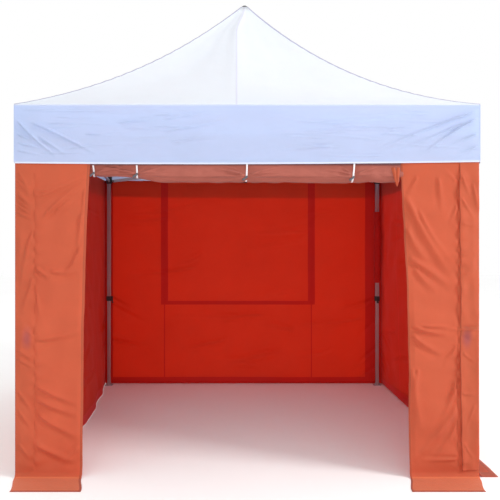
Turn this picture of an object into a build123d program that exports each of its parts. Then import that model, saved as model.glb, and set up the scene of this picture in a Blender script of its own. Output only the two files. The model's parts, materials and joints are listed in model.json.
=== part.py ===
from build123d import *
import os
from math import atan2, degrees, hypot

os.makedirs("parts", exist_ok=True)

# A 3 x 3 m pop-up gazebo. +Z is up, the ground is z = 0, the doorway faces -Y.
# The frame repeats four times about Z, so its pieces are made once, for the front side and for the
# front left leg, and turned by quarter turns. All lengths are in millimetres.

# fabric outline
half_width = 1500.0
eave_z = 2400.0
peak_z = 3548.0
hip_sag = 150.0  # how far a hip hangs under the straight line from eave to peak, at its middle
peak_flat = 24.0  # half width of the flat top of the roof, under the finial
fabric_t = 2.0
valance_bottom_z = 2025.0
wall_top_z = 2200.0
wall_plane = 1495.0  # outer face of the walls
flap_front = 240.0  # how far the front ground flaps run out
flap_side = 155.0
door_left_top, door_left_bottom = -990.0, -1050.0
door_right_top, door_right_bottom = 1000.0, 1075.0

# rolled door and its ties
roll_radius = 55.0
roll_z = 1955.0
roll_y = -1428.0
roll_hollow = 38.0  # the loose middle of the roll
tie_places = (-1000.0, -710.0, 0.0, 690.0)
tie_width = 22.0
tie_strap_top = valance_bottom_z + 60.0

# scissor frame
leg_centre = 1440.0
pin_radius = 4.0
hole_radius = 4.2
mid_pin = 30.0  # side pins of a mid connector, from its middle
leg_pin = 50.0  # pins of a leg bracket or slider, from the leg's middle
arm_pin = 40.0  # arm pins, inward of the truss plane
hub_pin = 40.0  # arm pins, outward of the mast's axis
top_pin_z = 2360.0
bottom_pin_z = 2190.0
plane_gap = 9.0  # middle of a bar, from the plane between the two bars of a pair
bar_t = 14.0
bar_h = 28.0
bar_wall = 1.2
plug_reach = 20.0  # solid end plug, from its pin to where the tube starts
plug_shank = 25.0
lug_t = 11.0
lug_half = 14.0
bolt_half = 21.0  # half length of a connector's bolt, heads included
head_r = 6.5
head_t = 4.0

# legs
leg_outer = 40.0
leg_wall = 1.6
leg_bottom_z = 912.0
leg_top_z = 2396.0
inner_size = 35.0
inner_top_z = 1400.0
bracket_size = 56.0
bracket_bottom_z = 2310.0
bracket_top_z = 2402.0
slider_bottom_z = 2160.0
slider_top_z = 2250.0
slider_bore = 41.0
clamp_size = 50.0
clamp_bottom_z = 905.0
clamp_top_z = 955.0
foot_half = 40.0
foot_t = 4.0
stake_hole_r = 6.0
stake_offset = 29.0

# centre
mast_r = 12.5
mast_wall = 1.5
mast_top_z = 3530.0
mast_seat_z = bottom_pin_z - 12.0
hub_bore_r = 13.0
hub_r = 22.0
upper_hub_low_z = 2300.0
upper_hub_high_z = 2330.0  # the mast cap rests on it when the frame is folded
hub_clear = 26.0  # nothing above the upper hub is nearer to the mast than this
finial_r = 24.0

SIDES = ("front", "right", "rear", "left")
CORNERS = ("front_left", "front_right", "rear_right", "rear_left")
LOW = (Align.CENTER, Align.CENTER, Align.MIN)
OPEN_END = 1.0  # how far a cutting shape runs past the face it opens


def quarter(shape, k):
    """The shape turned about Z by k quarter turns."""
    return Rot(0, 0, 90 * k) * shape


def block(x0, x1, y0, y1, z0, z1):
    """A box between two corners."""
    return Pos((x0 + x1) / 2, (y0 + y1) / 2, (z0 + z1) / 2) * Box(abs(x1 - x0), abs(y1 - y0), abs(z1 - z0))


def rod_x(x0, x1, y, z, r):
    return Pos((x0 + x1) / 2, y, z) * Rot(0, 90, 0) * Cylinder(r, abs(x1 - x0))


def rod_y(x, y0, y1, z, r):
    return Pos(x, (y0 + y1) / 2, z) * Rot(90, 0, 0) * Cylinder(r, abs(y1 - y0))


def square_tube(size, bore, z0, z1, corner=3.0):
    """A square tube along Z with rounded corners."""
    outer = extrude(RectangleRounded(size, size, corner), z1 - z0)
    inner = extrude(RectangleRounded(bore, bore, max(corner - (size - bore) / 2, 0.8)), z1 - z0)
    return Pos(0, 0, z0) * (outer - inner)


def save(name, *solids):
    """Writes one node: one solid, or a group of separate solids."""
    flat = []
    for item in solids:
        flat += item.solids()
    shape = flat[0] if len(flat) == 1 else Compound(children=flat)
    export_step(shape, "parts/" + name + ".step")


# ---------------------------------------------------------------- scissor bars

SPAN = leg_centre - mid_pin - leg_pin
RISE = top_pin_z - bottom_pin_z
BAR_LENGTH = hypot(SPAN, RISE)
BAR_ANGLE = degrees(atan2(RISE, SPAN))


def end_plug():
    """The solid end of a bar, with its pin hole at the origin and its shank along +X."""
    nose = rod_y(0, -bar_t / 2, bar_t / 2, 0, bar_h / 2)
    nose += block(0, plug_reach, -bar_t / 2, bar_t / 2, -bar_h / 2, bar_h / 2)
    inside_t = bar_t - 2 * bar_wall
    inside_h = bar_h - 2 * bar_wall
    shank = block(plug_reach - OPEN_END, plug_reach + plug_shank, -inside_t / 2, inside_t / 2,
                  -inside_h / 2, inside_h / 2)
    return nose + shank - rod_y(0, -bar_t, bar_t, 0, hole_radius)


def bar(with_pivot):
    """A bar along +X from pin to pin, its tube between two end plugs. with_pivot adds the bolt that
    joins it, at its middle, to the bar it crosses on its +Y side."""
    tube = block(plug_reach, BAR_LENGTH - plug_reach, -bar_t / 2, bar_t / 2, -bar_h / 2, bar_h / 2)
    tube -= block(0, BAR_LENGTH, -bar_t / 2 + bar_wall, bar_t / 2 - bar_wall,
                  -bar_h / 2 + bar_wall, bar_h / 2 - bar_wall)
    middle = BAR_LENGTH / 2
    tube -= rod_y(middle, -bar_t, bar_t, 0, hole_radius if not with_pivot else pin_radius)
    pieces = [end_plug(), tube, Pos(BAR_LENGTH, 0, 0) * Rot(0, 0, 180) * end_plug()]
    if with_pivot:
        far_face = 2 * plane_gap + bar_t / 2
        bolt = rod_y(middle, -bar_t / 2 - head_t, far_face + head_t, 0, pin_radius)
        bolt += rod_y(middle, -bar_t / 2 - head_t, -bar_t / 2, 0, head_r)
        bolt += rod_y(middle, far_face + 0.3, far_face + head_t, 0, head_r)
        bolt += rod_y(middle, bar_t / 2, 2 * plane_gap - bar_t / 2 - 0.3, 0, head_r)
        pieces.append(bolt)
    return pieces


def placed(pieces, x, y, z, tilt, turn=0.0):
    """Bar pieces tilted up by an angle in the truss plane, then turned about Z at their pin."""
    return [Pos(x, y, z) * Rot(0, 0, turn) * Rot(0, -tilt, 0) * piece for piece in pieces]


def mirrored(pieces):
    return [mirror(piece, about=Plane.YZ) for piece in pieces]


def truss_bars():
    """Front side: on each half one bar rises to the leg top in the outer plane, and one falls to the
    slider in the inner plane."""
    outer, inner = -leg_centre - plane_gap, -leg_centre + plane_gap
    rising = placed(bar(True), mid_pin, outer, bottom_pin_z, BAR_ANGLE)
    falling = placed(bar(False), mid_pin, inner, top_pin_z, -BAR_ANGLE)
    return {
        "right_rising": rising,
        "right_falling": falling,
        "left_rising": mirrored(rising),
        "left_falling": mirrored(falling),
    }


def arm_bars():
    """Front arm: the falling bar goes from the upper hub to the mid bottom connector, the rising one
    from the lower hub to the mid top connector. They are either side of the plane x = 0."""
    falling = placed(bar(True), -plane_gap, -hub_pin, top_pin_z, -BAR_ANGLE, -90)
    rising = placed(bar(False), plane_gap, -hub_pin, bottom_pin_z, BAR_ANGLE, -90)
    return {"arm_falling": falling, "arm_rising": rising}


# ------------------------------------------------------- connectors and hubs

def bolt_y(x, y, z):
    """A bolt along Y through a lug and the bar beside it."""
    body = rod_y(x, y - bolt_half, y + bolt_half, z, pin_radius)
    for sign in (-1, 1):
        body += rod_y(x, y + sign * (bolt_half - head_t), y + sign * bolt_half, z, head_r)
    return body


def bolt_x(x, y, z):
    body = rod_x(x - bolt_half, x + bolt_half, y, z, pin_radius)
    for sign in (-1, 1):
        body += rod_x(x + sign * (bolt_half - head_t), x + sign * bolt_half, y, z, head_r)
    return body


def mid_connector(z, side_of_plane):
    """The connector at the middle of the front side. Its plate is on the side of the truss plane away
    from its bars: 1 is inward, for the outer bars, and -1 outward, for the inner bars."""
    y_far = -leg_centre + side_of_plane * lug_t
    plate_half = mid_pin + lug_half
    plate = block(-plate_half, plate_half, -leg_centre, y_far, z - 18, z + 18)
    plate = fillet(plate.edges().filter_by(Axis.Y), 8)
    lug = block(0, side_of_plane * lug_t, -leg_centre, -leg_centre + arm_pin + lug_half,
                z - lug_half, z + lug_half)
    body = plate + lug
    pins = [(-mid_pin, z), (mid_pin, z)]
    for x, pin_z in pins:
        body -= rod_y(x, -leg_centre - 30, -leg_centre + 30, pin_z, pin_radius)
    body -= rod_x(-30, 30, -leg_centre + arm_pin, z, pin_radius)
    bolts = [bolt_y(x, -leg_centre, pin_z) for x, pin_z in pins]
    bolts.append(bolt_x(0, -leg_centre + arm_pin, z))
    return [body] + bolts


def boss(low_z, high_z):
    return Pos(0, 0, low_z) * Cylinder(hub_r, high_z - low_z, align=LOW)


def hub_bolts(z):
    return [quarter(bolt_x(0, -hub_pin, z), k) for k in range(4)]


def upper_hub():
    """The fixed centre hub. Its four lugs stand up beside the planes of the falling arm bars, so that
    the mast cap can come down between them."""
    body = boss(upper_hub_low_z, upper_hub_high_z)
    for k in range(4):
        arm = block(0, lug_t, -hub_pin - lug_half, -14, upper_hub_low_z, upper_hub_high_z)
        lug = block(0, lug_t, -hub_pin - lug_half, -hub_clear, upper_hub_low_z, top_pin_z + lug_half)
        lug -= rod_x(-30, 30, -hub_pin, top_pin_z, pin_radius)
        body += quarter(arm + lug, k)
    body -= Pos(0, 0, upper_hub_low_z) * Cylinder(hub_bore_r, 90)
    return [body] + hub_bolts(top_pin_z)


def lower_hub():
    """The moving centre hub, with four lugs on the other side of the arm planes and the mast's seat."""
    body = boss(bottom_pin_z - 18, bottom_pin_z + 18)
    for k in range(4):
        lug = block(0, -lug_t, -hub_pin - lug_half, -14, bottom_pin_z - lug_half, bottom_pin_z + lug_half)
        lug -= rod_x(-30, 30, -hub_pin, bottom_pin_z, pin_radius)
        body += quarter(lug, k)
    body -= Pos(0, 0, mast_seat_z) * Cylinder(mast_r, 60, align=LOW)
    return [body] + hub_bolts(bottom_pin_z)


def mast():
    length = mast_top_z - mast_seat_z
    tube = Cylinder(mast_r, length, align=LOW) - Cylinder(mast_r - mast_wall, length, align=LOW)
    return Pos(0, 0, mast_seat_z) * tube


def mast_cap():
    """Plastic cap that pushes the peak up: a plug in the mast, a cone under the roof, a stud through
    the roof's hole and the dark finial on top."""
    plug = Pos(0, 0, mast_top_z - 30) * Cylinder(mast_r - mast_wall, 30, align=LOW)
    cone = Pos(0, 0, mast_top_z) * Cone(22, 12, 12, align=LOW)
    stud = Pos(0, 0, mast_top_z) * Cylinder(5, peak_z + 1 - mast_top_z, align=LOW)
    finial = Pos(0, 0, peak_z + 0.5) * Cylinder(finial_r, 7, align=LOW)
    finial += Pos(0, 0, peak_z + 7.5) * Cone(finial_r, 14, 7, align=LOW)
    return plug + cone + stud + finial


# ------------------------------------------------------------------------ legs

def leg_lugs(z, outer_side):
    """The two lugs of a leg fitting, for the front left leg standing on the origin: one towards +X for
    the front side's bar, one towards +Y for the left side's. outer_side is 1 if the lugs are inside
    the truss planes, beside the outer bars, and -1 if they are outside them."""
    reach = leg_pin + lug_half
    start = bracket_size / 2 - 2
    lug = block(start, reach, 0, outer_side * lug_t, z - lug_half, z + lug_half)
    lug -= rod_y(leg_pin, -30, 30, z, pin_radius)
    other = block(0, outer_side * lug_t, start, reach, z - lug_half, z + lug_half)
    other -= rod_x(-30, 30, leg_pin, z, pin_radius)
    return lug + other, [bolt_y(leg_pin, 0, z), bolt_x(0, leg_pin, z)]


def leg_outer_tube():
    return square_tube(leg_outer, leg_outer - 2 * leg_wall, leg_bottom_z, leg_top_z)


def top_bracket():
    lugs, bolts = leg_lugs(top_pin_z, 1)
    sleeve = square_tube(bracket_size, leg_outer + 0.1, bracket_bottom_z, bracket_top_z, 5)
    lid = Pos(0, 0, leg_top_z + 0.1) * extrude(RectangleRounded(bracket_size - 2, bracket_size - 2, 4),
                                               bracket_top_z - leg_top_z - 0.1)
    return [sleeve + lid + lugs] + bolts


def slider():
    lugs, bolts = leg_lugs(bottom_pin_z, -1)
    sleeve = square_tube(bracket_size, slider_bore, slider_bottom_z, slider_top_z, 5)
    ring = Pos(-bracket_size / 2, 0, slider_top_z - 30) * Rot(0, 90, 0) * Cylinder(9, 6)
    ring -= block(-bracket_size / 2 + 1, 0, -20, 20, slider_top_z - 50, slider_top_z - 10)
    return [sleeve + lugs + ring] + bolts


LEVER_AXIS_Y = clamp_size / 2 + 8
LEVER_AXIS_Z = clamp_top_z - 10


def clamp_collar():
    """Collar at the lower end of the outer leg, with the two ears that hold the lock lever."""
    collar = square_tube(clamp_size, leg_outer + 0.1, clamp_bottom_z, clamp_top_z, 4)
    for sign in (-1, 1):
        ear = block(sign * 11, sign * 16, clamp_size / 2 - 1, LEVER_AXIS_Y + 7,
                    LEVER_AXIS_Z - 8, LEVER_AXIS_Z + 8)
        collar += fillet(ear.edges().filter_by(Axis.X).sort_by(Axis.Y)[-2:], 4)
    collar -= rod_x(-20, 20, LEVER_AXIS_Y, LEVER_AXIS_Z, 3)
    pin = rod_x(-18, 18, LEVER_AXIS_Y, LEVER_AXIS_Z, 3)
    return [collar, pin]


def lock_lever():
    """Flip lever, closed: it hangs down along the collar's inner face."""
    barrel = rod_x(-10.5, 10.5, LEVER_AXIS_Y, LEVER_AXIS_Z, 7)
    arm = block(-10.5, 10.5, LEVER_AXIS_Y - 3, LEVER_AXIS_Y + 6, LEVER_AXIS_Z - 62, LEVER_AXIS_Z)
    arm = fillet(arm.edges().filter_by(Axis.Y).sort_by(Axis.Z)[:2], 6)
    tip = block(-10.5, 10.5, LEVER_AXIS_Y, LEVER_AXIS_Y + 14, LEVER_AXIS_Z - 62, LEVER_AXIS_Z - 54)
    tip = fillet(tip.edges().filter_by(Axis.X).sort_by(Axis.Y)[-2:], 3)
    return barrel + arm + tip - rod_x(-20, 20, LEVER_AXIS_Y, LEVER_AXIS_Z, 3.2)


def leg_inner():
    """Telescoping inner leg with its welded foot plate, gussets and stake hole."""
    tube = square_tube(inner_size, inner_size - 2 * leg_wall, foot_t, inner_top_z)
    plate = Pos(0, 0, 0) * extrude(RectangleRounded(2 * foot_half, 2 * foot_half, 6), foot_t)
    body = tube + plate
    for turn in (0, 90, 180, 270):
        rib = Polyline((inner_size / 2 - 0.5, foot_t), (foot_half - 3, foot_t),
                       (inner_size / 2 - 0.5, foot_t + 26), close=True)
        rib = extrude(Plane.XZ * make_face(rib), 1.5, both=True)
        body += Rot(0, 0, turn) * rib
    return body - Pos(stake_offset, stake_offset, 0) * Cylinder(stake_hole_r, 20)


def at_corner(pieces, k):
    """Leg pieces, made on the origin for the front left leg, moved to corner k."""
    return [quarter(Pos(-leg_centre, -leg_centre, 0) * piece, k) for piece in pieces]


# ---------------------------------------------------------------------- fabric

def roof_height(w):
    """Height of the roof at half width w. The hips hang in a shallow curve."""
    t = (half_width - w) / (half_width - peak_flat)
    return eave_z + (peak_z - eave_z) * t - 4 * hip_sag * t * (1 - t)


def roof_block(inset, steps=7):
    """The space under the roof's surface, lowered by an inset."""
    solid = None
    widths = [half_width + (peak_flat - half_width) * i / steps for i in range(steps + 1)]
    for w0, w1 in zip(widths, widths[1:]):
        z0, z1 = roof_height(w0) - inset, roof_height(w1) - inset
        part = loft([Pos(0, 0, z0) * Rectangle(2 * w0, 2 * w0), Pos(0, 0, z1) * Rectangle(2 * w1, 2 * w1)],
                    ruled=True)
        solid = part if solid is None else solid + part
    return solid


def canopy_roof():
    """Four gores, sewn together along the hips."""
    drop = 3.0  # vertical thickness, about fabric_t measured square to the slope
    shell = roof_block(0) - roof_block(drop)
    shell &= block(-half_width, half_width, -half_width, half_width, eave_z + 0.5, peak_z)
    shell -= Pos(0, 0, peak_z) * Cylinder(5.5, 40)
    wedge = Polyline((0, 0), (-half_width, -half_width), (half_width, -half_width), close=True)
    wedge = Pos(0, 0, eave_z) * extrude(make_face(wedge), peak_z - eave_z + 1)
    return [shell & quarter(wedge, k) for k in range(4)]


def canopy_valance():
    """Four hanging panels, sewn together at the corners."""
    panel = block(-half_width + fabric_t, half_width, -half_width, -half_width + fabric_t,
                  valance_bottom_z, eave_z)
    return [quarter(panel, k) for k in range(4)]


def side_wall(sign):
    """Left or right wall. Only the right one has its ground flap turned out."""
    outer, inner = sign * wall_plane, sign * (wall_plane - fabric_t)
    reach = wall_plane - fabric_t - 1
    wall = block(inner, outer, -reach, reach, 0, wall_top_z)
    if sign > 0:
        wall += block(inner, outer + flap_side, -reach, reach, 0, fabric_t)
    return wall


def rear_wall():
    wall = block(-wall_plane, wall_plane, wall_plane - fabric_t, wall_plane, 0, wall_top_z)
    return wall + block(-wall_plane + 5, wall_plane - 5, wall_plane - 1, wall_plane + flap_side, 0, fabric_t)


def front_wall():
    """Two fixed panels that taper towards the doorway, joined by a header behind the valance."""
    header_bottom = valance_bottom_z - 5
    outline = Polyline(
        (-wall_plane, 0), (door_left_bottom, 0), (door_left_top, header_bottom),
        (door_right_top, header_bottom), (door_right_bottom, 0), (wall_plane, 0),
        (wall_plane, wall_top_z), (-wall_plane, wall_top_z), close=True)
    wall = Pos(0, -wall_plane + fabric_t, 0) * extrude(Plane.XZ * make_face(outline), fabric_t)
    for x0, x1 in ((-wall_plane, door_left_bottom), (door_right_bottom, wall_plane)):
        wall += block(x0, x1, -wall_plane - flap_front, -wall_plane + 1, 0, fabric_t)
    return wall


def door_roll():
    """The door, rolled up under the header, with its hollow middle."""
    roll = rod_x(door_left_top + 5, door_right_top - 5, roll_y, roll_z, roll_radius)
    return roll - rod_x(door_left_top, door_right_top, roll_y, roll_z, roll_hollow)


def door_ties():
    """A loop of webbing round the roll and a strap up to the header at each tie."""
    pieces = []
    for x in tie_places:
        x = max(x, door_left_top + tie_width)
        loop = rod_x(x - tie_width / 2, x + tie_width / 2, roll_y, roll_z, roll_radius + 4)
        loop -= rod_x(x - tie_width, x + tie_width, roll_y, roll_z, roll_radius + 2)
        strap_y = -wall_plane + fabric_t
        strap = block(x - tie_width / 2, x + tie_width / 2, strap_y + 1, strap_y + 3,
                      roll_z, tie_strap_top)
        pieces += [loop, strap]
    return pieces


# ----------------------------------------------------------------------- build

def build():
    trusses = truss_bars()
    arms = arm_bars()
    mid_top = mid_connector(top_pin_z, -1)
    mid_bottom = mid_connector(bottom_pin_z, 1)
    for k, side in enumerate(SIDES):
        for name, pieces in trusses.items():
            save("truss_" + side + "_" + name, *[quarter(p, k) for p in pieces])
        for name, pieces in arms.items():
            save(name + "_" + side, *[quarter(p, k) for p in pieces])
        save("mid_top_" + side, *[quarter(p, k) for p in mid_top])
        save("mid_bottom_" + side, *[quarter(p, k) for p in mid_bottom])
    for k, corner in enumerate(CORNERS):
        save("leg_outer_" + corner, *at_corner([leg_outer_tube()] + top_bracket() + clamp_collar(), k))
        save("slider_" + corner, *at_corner(slider(), k))
        save("leg_inner_" + corner, *at_corner([leg_inner()], k))
        save("leg_lock_" + corner, *at_corner([lock_lever()], k))
    save("upper_hub", *upper_hub())
    save("lower_hub", *lower_hub())
    save("mast", mast())
    save("mast_cap", mast_cap())
    save("canopy_roof", *canopy_roof())
    save("canopy_valance", *canopy_valance())
    save("wall_left", side_wall(-1))
    save("wall_right", side_wall(1))
    save("wall_rear", rear_wall())
    save("wall_front", front_wall())
    save("door_roll", door_roll())
    save("door_ties", *door_ties())


build()
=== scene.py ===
import bmesh
import bpy
import numpy as np
from math import cos, hypot, pi, radians, sin
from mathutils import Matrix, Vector
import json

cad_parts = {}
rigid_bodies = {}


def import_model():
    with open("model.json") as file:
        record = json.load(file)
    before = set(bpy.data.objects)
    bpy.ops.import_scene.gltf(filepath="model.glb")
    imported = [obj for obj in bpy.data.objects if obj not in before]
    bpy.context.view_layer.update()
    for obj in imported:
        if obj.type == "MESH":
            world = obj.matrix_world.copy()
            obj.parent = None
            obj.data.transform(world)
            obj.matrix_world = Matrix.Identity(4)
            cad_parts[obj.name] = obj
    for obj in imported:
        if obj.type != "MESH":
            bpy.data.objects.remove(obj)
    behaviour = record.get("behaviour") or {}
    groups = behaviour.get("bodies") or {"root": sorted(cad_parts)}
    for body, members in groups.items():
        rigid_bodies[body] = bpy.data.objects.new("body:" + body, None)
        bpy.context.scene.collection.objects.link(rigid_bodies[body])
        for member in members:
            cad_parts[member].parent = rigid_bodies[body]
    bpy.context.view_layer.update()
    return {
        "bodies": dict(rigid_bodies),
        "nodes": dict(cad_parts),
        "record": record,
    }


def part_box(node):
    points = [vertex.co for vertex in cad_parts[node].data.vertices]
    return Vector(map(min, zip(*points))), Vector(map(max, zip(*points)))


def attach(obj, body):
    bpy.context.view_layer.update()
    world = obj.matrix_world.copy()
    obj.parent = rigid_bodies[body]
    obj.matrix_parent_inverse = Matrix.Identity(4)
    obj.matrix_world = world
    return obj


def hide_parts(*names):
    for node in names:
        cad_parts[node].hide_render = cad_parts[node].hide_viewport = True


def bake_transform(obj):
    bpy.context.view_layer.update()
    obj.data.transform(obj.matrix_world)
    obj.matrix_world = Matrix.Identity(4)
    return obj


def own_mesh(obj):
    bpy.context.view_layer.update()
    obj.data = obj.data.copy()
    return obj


# A 3 x 3 m pop-up gazebo: fabric roof, valance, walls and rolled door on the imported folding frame.
# Lengths are in metres, +Z is up, the doorway faces -Y. Sheets are grids of points; each side's own
# frame has u along the side (to the right, seen from outside), o outward and z up.

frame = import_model()


def in_scene(name, data):
    """A new object of the scene."""
    thing = bpy.data.objects.new(name, data)
    bpy.context.scene.collection.objects.link(thing)
    return thing


# ---- camera


def make_camera():
    data = bpy.data.cameras.new("camera")
    data.sensor_width = 36
    data.lens = 48.96
    data.shift_x = 0.026
    data.shift_y = -0.006
    camera = in_scene("camera", data)
    camera.location = (-0.065, -5.87, 1.483)
    camera.rotation_euler = (radians(90), 0, 0)
    bpy.context.scene.camera = camera


make_camera()

# ---- sizes from the frame

SIDES = ("front", "right", "rear", "left")
_, roof_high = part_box("canopy_roof")
valance_low, valance_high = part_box("canopy_valance")
wall_low, wall_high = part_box("wall_left")
HALF = valance_high.x  # outer face of the valance
EAVE = valance_high.z
PEAK = roof_high.z
VALANCE_BOTTOM = valance_low.z
WALL_TOP = wall_high.z
WALL = -wall_low.x  # outer face of the walls
HIP_SAG = 0.150  # how far the roof sags halfway up its slope
PEAK_FLAT = 0.024  # half width of the roof's flat top, on the mast cap
SIDE_TRAVEL = 1.2507  # how far a side moves in as the frame folds
DROP_TRAVEL = 1.1962  # how far the mast comes down
CLOTH = 0.0012  # thickness of coated cloth, a little over the real one so that it renders cleanly
roll_low, roll_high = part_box("door_roll")
ROLL_Y = (roll_low.y + roll_high.y) / 2
ROLL_Z = (roll_low.z + roll_high.z) / 2
ROLL_R = (roll_high.z - roll_low.z) / 2

# ---- materials


def srgb(red, green, blue):
    """An sRGB colour, 0 to 255, as linear values with alpha."""
    values = [c / 255 for c in (red, green, blue)]
    return tuple(c / 12.92 if c <= 0.04045 else ((c + 0.055) / 1.055) ** 2.4 for c in values) + (1.0,)


def tint(colour, factor):
    return tuple(min(1.0, c * factor) for c in colour[:3]) + (1.0,)


class Nodes:
    """A material's node tree, built by name."""

    def __init__(self, name):
        self.material = bpy.data.materials.new(name)
        self.material.use_nodes = True
        self.tree = self.material.node_tree
        self.tree.nodes.clear()
        self.output = self.add("ShaderNodeOutputMaterial")
        self.place = self.add("ShaderNodeTexCoord").outputs["Object"]

    def add(self, kind, **values):
        node = self.tree.nodes.new(kind)
        for key, value in values.items():
            setattr(node, key, value)
        return node

    def link(self, a, b):
        self.tree.links.new(a, b)

    def noise(self, scale, detail=3.0, stretch=None):
        """A noise texture in the object's own coordinates, stretched along its axes."""
        node = self.add("ShaderNodeTexNoise")
        node.inputs["Scale"].default_value = scale
        node.inputs["Detail"].default_value = detail
        self.link(self.stretched(stretch) if stretch else self.place, node.inputs["Vector"])
        return node.outputs["Fac"]

    def stretched(self, stretch):
        node = self.add("ShaderNodeMapping")
        node.inputs["Scale"].default_value = stretch
        self.link(self.place, node.inputs["Vector"])
        return node.outputs["Vector"]

    def wave(self, scale, direction):
        node = self.add("ShaderNodeTexWave", bands_direction=direction)
        node.inputs["Scale"].default_value = scale
        self.link(self.place, node.inputs["Vector"])
        return node.outputs["Fac"]

    def maths(self, operation, a, b):
        node = self.add("ShaderNodeMath", operation=operation)
        for socket, value in zip(node.inputs, (a, b)):
            if isinstance(value, (int, float)):
                socket.default_value = value
            else:
                self.link(value, socket)
        return node.outputs[0]

    def ramp(self, factor, stops):
        """Colours by a factor: stops is a list of (position, colour)."""
        node = self.add("ShaderNodeValToRGB")
        elements = node.color_ramp.elements
        while len(elements) < len(stops):
            elements.new(0.5)
        for element, (position, colour) in zip(elements, stops):
            element.position = position
            element.color = colour
        self.link(factor, node.inputs["Fac"])
        return node.outputs["Color"]

    def mix(self, factor, a, b):
        node = self.add("ShaderNodeMix", data_type="RGBA")
        for socket, value in ((node.inputs[0], factor), (node.inputs[6], a), (node.inputs[7], b)):
            if isinstance(value, (int, float, tuple)):
                socket.default_value = value
            else:
                self.link(value, socket)
        return node.outputs[2]

    def bump(self, height, strength, distance):
        node = self.add("ShaderNodeBump")
        node.inputs["Strength"].default_value = strength
        node.inputs["Distance"].default_value = distance
        self.link(height, node.inputs["Height"])
        return node.outputs["Normal"]

    def principled(self, colour, roughness, **values):
        node = self.add("ShaderNodeBsdfPrincipled")
        for key, value in {"Base Color": colour, "Roughness": roughness, **values}.items():
            socket = node.inputs[key.replace("_", " ")]
            if isinstance(value, (int, float, tuple)):
                socket.default_value = value
            else:
                self.link(value, socket)
        return node

    def spot(self, centre, reach):
        """Half strength at a place, fading out at a distance of reach along each axis."""
        scale = tuple(1 / r for r in reach)
        away = self.add("ShaderNodeVectorMath", operation="DISTANCE")
        self.link(self.stretched(scale), away.inputs[0])
        away.inputs[1].default_value = [c * f for c, f in zip(centre, scale)]
        node = self.add("ShaderNodeMapRange", interpolation_type="SMOOTHSTEP")
        node.inputs["To Min"].default_value = 0.5
        node.inputs["To Max"].default_value = 0.0
        self.link(away.outputs["Value"], node.inputs["Value"])
        return node.outputs["Result"]

    def finish(self, shader):
        self.link(shader.outputs[0], self.output.inputs["Surface"])
        return self.material


THREADS = 420  # scale of the weave


def cloth_material(name, colour, spread, glow=None, share=0.0, roughness=0.72, weave=1.0, shadow_spots=()):
    """Coated polyester: a fine crossed weave, faint mottling and fine crumples. glow is the colour of the
    light that comes through it and share how much of the cloth passes light. The last argument lists
    painted shadows: places where the shade of something behind the cloth is painted into its colour."""
    n = Nodes(name)
    threads = n.maths("ADD", n.wave(THREADS, "X"), n.wave(THREADS, "Y"))
    threads = n.maths("ADD", threads, n.wave(THREADS, "Z"))
    crumple = n.noise(30.0, 5.0)
    height = n.maths("ADD", n.maths("MULTIPLY", threads, 0.05 * weave), crumple)
    height = n.maths("ADD", height, n.maths("MULTIPLY", n.noise(9.0, 3.0), 2.2))
    mottle = n.maths("MULTIPLY", n.noise(2.6, 4.0), 0.75)
    mottle = n.maths("ADD", mottle, n.maths("MULTIPLY", crumple, 0.25))
    dark, pale = tint(colour, 1 - spread), tint(colour, 1 + spread)
    base = n.ramp(mottle, [(0.30, dark), (0.55, colour), (0.75, pale)])
    # painted shadow: each place is blended towards SHADOW_GREY
    for centre, reach in shadow_spots:
        base = n.mix(n.spot(centre, reach), base, SHADOW_GREY)
    rough = n.maths("ADD", n.maths("MULTIPLY", n.noise(9.0), 0.12), roughness - 0.06)
    shader = n.principled(base, rough, Normal=n.bump(height, 0.45, 0.0035),
                          Specular_IOR_Level=0.35, Sheen_Weight=0.12, Sheen_Roughness=0.5)
    if glow is None:
        return n.finish(shader)
    through = n.add("ShaderNodeBsdfTranslucent")
    through.inputs["Color"].default_value = glow
    mixed = n.add("ShaderNodeMixShader")
    mixed.inputs[0].default_value = share
    n.link(shader.outputs[0], mixed.inputs[1])
    n.link(through.outputs[0], mixed.inputs[2])
    return n.finish(mixed)


def satin(n, colour):
    """Satin metal's grain, drawn out along its length, and its faintly dulled colour."""
    grain = n.noise(220.0, 4.0, (1, 1, 0.06))
    return grain, n.ramp(n.noise(6.0, 4.0), [(0.35, tint(colour, 0.88)), (0.7, colour)])


def metal_material(name, colour, roughness):
    n = Nodes(name)
    grain, base = satin(n, colour)
    rough = n.maths("ADD", n.maths("MULTIPLY", grain, 0.16), roughness - 0.08)
    return n.finish(n.principled(base, rough, Metallic=0.85, Normal=n.bump(grain, 0.12, 0.0004)))


def plastic_material(name, colour, roughness):
    """Moulded plastic with a fine spark texture and slightly paler worn places."""
    n = Nodes(name)
    spark = n.noise(900.0, 2.0)
    wear = n.noise(14.0, 5.0)
    base = n.ramp(wear, [(0.45, colour), (0.8, tint(colour, 1.7))])
    rough = n.maths("ADD", n.maths("MULTIPLY", wear, 0.2), roughness - 0.1)
    return n.finish(n.principled(base, rough, Normal=n.bump(spark, 0.15, 0.0003)))


def leg_material(name, metal, plastic, bands):
    """The outer leg: satin tube, with black plastic fittings in the given height bands."""
    n = Nodes(name)
    split = n.add("ShaderNodeSeparateXYZ")
    n.link(n.place, split.inputs[0])
    inside = 0.0
    for low, high in bands:
        band = n.maths("MULTIPLY", n.maths("GREATER_THAN", split.outputs["Z"], low),
                       n.maths("LESS_THAN", split.outputs["Z"], high))
        inside = band if inside == 0.0 else n.maths("ADD", inside, band)
    grain, dull = satin(n, metal)
    base = n.mix(inside, dull, plastic)
    even = n.maths("ADD", 0.26, n.maths("MULTIPLY", inside, 0.2))
    rough = n.maths("ADD", n.maths("MULTIPLY", grain, 0.16), even)
    metallic = n.maths("MULTIPLY", n.maths("SUBTRACT", 1.0, inside), 0.85)
    return n.finish(n.principled(base, rough, Metallic=metallic, Normal=n.bump(grain, 0.12, 0.0004)))


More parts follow.
